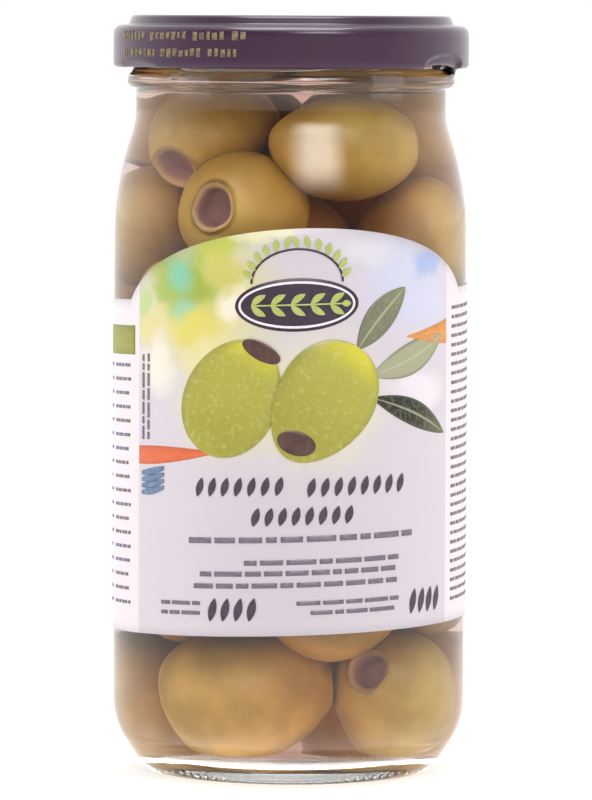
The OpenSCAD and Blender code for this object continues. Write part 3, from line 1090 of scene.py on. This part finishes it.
def side_rows(rng):
    """Rows of small bars on the side panels, a table at the left, and rows towards the back, which
    end where their last words would."""
    rows = []
    for z in np.arange(34.0, 79.0, 2.6):
        rows += word_bars(rng, -66.0, -47.0, z, 0.6, 1.5, 4.5)
        rows += word_bars(rng, -44.5, -36.0, z, 0.6, 1.2, 3.0)
    for z in np.arange(32.6, 88.4, 1.75):
        rows += word_bars(rng, 37.2, 68.0 + rng.uniform(-8, 0), z, 0.62, 1.2, 4.2)
    for z in np.arange(34.0, 87.0, 2.2):
        rows += word_bars(rng, 72.0, 94.0 + rng.uniform(-8, 0), z, 0.55, 1.2, 4.2)
    for z in np.arange(34.0, 62.0, 2.2):
        rows += word_bars(rng, -94.0, -72.0 + rng.uniform(-6, 0), z, 0.55, 1.2, 4.2)
    return rows


def bowed_band(left, right, bow):
    """Band of print between two upright ends, each given as a distance, a top and a foot, whose
    edges sag or rise by bow between them."""
    t = np.linspace(0, 1, 17)[:, None]
    q = np.array([[0.0, 0.5, 1.0]])
    across = left[0] + (right[0] - left[0]) * t + 0 * q
    upper = left[1] + (right[1] - left[1]) * t**1.6 + bow * np.sin(np.pi * t) * 0.4
    lower = left[2] + (right[2] - left[2]) * t**1.4 - bow * np.sin(np.pi * t) * 0.6
    z = lower + (upper - lower) * q
    return np.stack([across, z], -1), np.stack([t + 0 * q, 0 * t + 2 * q - 1], -1)


def ring_patches(centre, half_w, half_h, width, count, half=False):
    """A thin oval line, or the upper half of one, as one closed patch or one long patch."""
    angle = np.linspace(0, np.pi if half else TURN - 1e-3, count * 2)[::-1, None]
    out = np.array([[-1.0, 1.0]]) * width
    x = centre[0] + (half_w + out) * np.cos(angle)
    z = centre[1] + (half_h + out) * np.sin(angle)
    share = np.stack(np.broadcast_arrays(np.linspace(0, 1, count * 2)[:, None], [[-1.0, 1.0]]), -1)
    return [(np.stack([x, z], -1), share)]


def sprig_patches(centre, reach, pairs):
    """A level stalk with pairs of leaves that sweep outwards from the middle, and an end leaf."""
    x, z = centre
    patches = [bar(x - reach, x + reach, z, 0.28)]
    for i in range(pairs):
        at = x - reach * 0.86 + i * 2 * reach * 0.86 / (pairs - 1) - 1.2
        for up in (-1, 1):
            patches.append(blade((at, z), (at + 2.7, z + up * 1.95), 0.62, bow=0.2 * up, tip=0.8))
    patches.append(blade((x + reach - 0.2, z), (x + reach + 1.6, z), 0.6, tip=0.8))
    return patches


def spray_patches(centre, half_w, half_h, count):
    """Small leaves set along the upper half of an oval, each lying along its line."""
    patches = []
    for a in np.linspace(0.16, np.pi - 0.16, count):
        foot = np.array([centre[0] + half_w * 0.94 * np.cos(a), centre[1] + half_h * 0.94 * np.sin(a)])
        sweep = 0.5 if a < np.pi / 2 else -0.5
        out = np.array([np.cos(a + sweep), np.sin(a + sweep)])
        patches.append(blade(foot - 0.5 * out, foot + 1.9 * out, 0.58, tip=0.8))
    return patches


def cap_print():
    """Two rows of plain dashes, ink-jetted on the skirt in dull gold."""
    rng = np.random.default_rng(5)
    patches = []
    for z, right in ((CAP_BASE + 6.0, -8.2), (CAP_BASE + 2.9, -9.8)):
        at = -40.0
        while at < right:
            size = rng.uniform(0.6, 1.2)
            patches.append(bar(at, at + size, z + rng.uniform(-0.15, 0.15), rng.uniform(1.1, 1.8)))
            at += size + rng.choice([0.42, 0.5, 1.6], p=[0.5, 0.35, 0.15])
    gold = ink("jet_ink", "#857450", "#54423f", roughness=0.6, grain=1500.0, share=0.9)
    film("cap_code", patches, gold, 0.03, radius=SKIRT_R, skew=0.0)


# ---------------------------------------------------------------- stage


def look_at(point, aim):
    """Rotation that points a light's or camera's axis from one place at another."""
    return (Vector(aim) - Vector(point)).to_track_quat("-Z", "Y").to_matrix().to_4x4()


def area_light(name, azimuth, elevation, distance, size, power, aim=(0, 0, 0.08)):
    """Soft box at an angle to the right of the front and above the horizon, facing the jar."""
    a = np.radians(azimuth)
    e = np.radians(elevation)
    spot = np.array([np.sin(a) * np.cos(e), -np.cos(a) * np.cos(e), np.sin(e)]) * distance
    place = tuple(spot + np.array(aim))
    light = bpy.data.lights.new(name, "AREA")
    light.shape = "RECTANGLE"
    light.size = size[0]
    light.size_y = size[1]
    light.energy = power
    lamp = bpy.data.objects.new(name, light)
    lamp.matrix_world = Matrix.Translation(place) @ look_at(place, aim)
    bpy.context.scene.collection.objects.link(lamp)
    return lamp


def soften(lamp):
    """Lets a soft box fade towards its edges, as a cloth front does."""
    lamp.data.use_nodes = True
    tree = lamp.data.node_tree
    tree.nodes.clear()
    across, up, _ = add(
        tree, "SeparateXYZ", in0=add(tree, "NewGeometry").outputs["Parametric"]
    ).outputs
    level = 1.0
    for part in (across, up):
        side = add(tree, "Math", {"operation": "PINGPONG"}, in0=part, in1=0.5).outputs[0]
        fade = add(tree, "MapRange", SMOOTH, in0=side, in1=0.0, in2=0.42).outputs[0]
        level = add(tree, "Math", {"operation": "MULTIPLY"}, in0=level, in1=fade).outputs[0]
    glow = add(tree, "Emission", Strength=level)
    tree.links.new(glow.outputs[0], add(tree, "OutputLight").inputs["Surface"])


def studio_floor():
    """Level disc of opal board, 60 m in radius, so that its edge meets the horizon."""
    radius = 60000.0
    corners = 96
    turn = np.arange(corners) * TURN / corners
    rim = np.stack([radius * np.sin(turn), -radius * np.cos(turn), 0 * turn], 1)
    j = np.arange(corners)
    fans = np.stack([0 * j, j + 1, (j + 1) % corners + 1], 1)
    floor = make_piece("floor", np.concatenate([[[0, 0, 0]], rim]), np.zeros((0, 4), int), fans)
    floor.data.materials.append(studio_paper())


def studio_world():
    """White room, brighter behind the jar than before it. Matt and glossy surfaces each meet it at a
    strength of their own, and seen directly or through glass it is plain white."""
    world = bpy.data.worlds.new("studio")
    world.use_nodes = True
    tree = world.node_tree
    tree.nodes.clear()
    path = add(tree, "LightPath").outputs
    way = add(tree, "SeparateXYZ", in0=add(tree, "TexCoord").outputs["Generated"]).outputs
    matt = add(tree, "MapRange", SMOOTH, in0=way[1], in1=-0.5, in2=0.6, in3=0.62, in4=1.2)
    behind = add(tree, "MapRange", SMOOTH, in0=way[1], in1=-0.65, in2=0.35, in3=0.3, in4=1.4)
    above = add(tree, "MapRange", SMOOTH, in0=way[2], in1=0.35, in2=0.95, in3=0.3, in4=0.7)
    gloss = add(
        tree, "Math", {"operation": "MAXIMUM"}, in0=behind.outputs[0], in1=above.outputs[0]
    ).outputs[0]
    level = add(
        tree,
        "Mix",
        {"data_type": "FLOAT"},
        in0=path["Is Diffuse Ray"],
        in2=gloss,
        in3=matt.outputs[0],
    ).outputs[0]
    seen = add(
        tree,
        "Math",
        {"operation": "MAXIMUM"},
        in0=path["Is Camera Ray"],
        in1=path["Is Transmission Ray"],
    ).outputs[0]
    strength = add(tree, "Mix", {"data_type": "FLOAT"}, in0=seen, in2=level, in3=1.0).outputs[0]
    sky = add(tree, "Background", Color="#ffffff", Strength=strength)
    tree.links.new(sky.outputs[0], add(tree, "OutputWorld").inputs["Surface"])
    bpy.context.scene.world = world


def studio_lights():
    """A weak key and weak side lights, which nothing mirrors, and a soft box and a top light, which
    only show as glare."""
    key = area_light("key", 24, 32, 1.1, (0.7, 0.5), 1.0)
    key.visible_glossy = False
    box = area_light("soft_box", 19.5, 28, 1.0, (0.78, 0.56), 14.0, (0, 0, 0.12))
    soften(box)
    box.visible_diffuse = False
    top = area_light("top", 0, 78, 0.9, (0.7, 0.6), 12.5)
    top.visible_diffuse = False
    for name, azimuth, elevation, power in (
        ("left", -80, 10, 3.1),
        ("right", 80, 10, 3.1),
        ("low", -30, 4, 1.1),
    ):
        side = area_light(name, azimuth, elevation, 1.1, (0.6, 0.6), power, (0, 0, 0.05))
        side.visible_glossy = False


def studio_camera():
    """Long lens 1.16 m before the jar, at the cap's height, looking a little downwards."""
    camera = bpy.data.objects.new("camera", bpy.data.cameras.new("camera"))
    camera.data.lens = 276.66
    camera.data.sensor_width = 36
    camera.data.clip_start = 0.05
    camera.data.clip_end = 200
    turn = Matrix.Rotation(np.radians(-0.059), 4, "Z")
    tilt = Matrix.Rotation(np.radians(90 - 3.594), 4, "X")
    roll = Matrix.Rotation(np.radians(0.257), 4, "Z")
    camera.matrix_world = Matrix.Translation((0, -1.155, 0.1423)) @ turn @ tilt @ roll
    bpy.context.scene.collection.objects.link(camera)
    bpy.context.scene.camera = camera
    bpy.context.scene.view_settings.view_transform = "Standard"


studio_floor()
studio_world()
studio_lights()
studio_camera()
jar_glass()
brine_liquid()
lug_cap()
olives_piece()
label_wrap()
label_print()
cap_print()
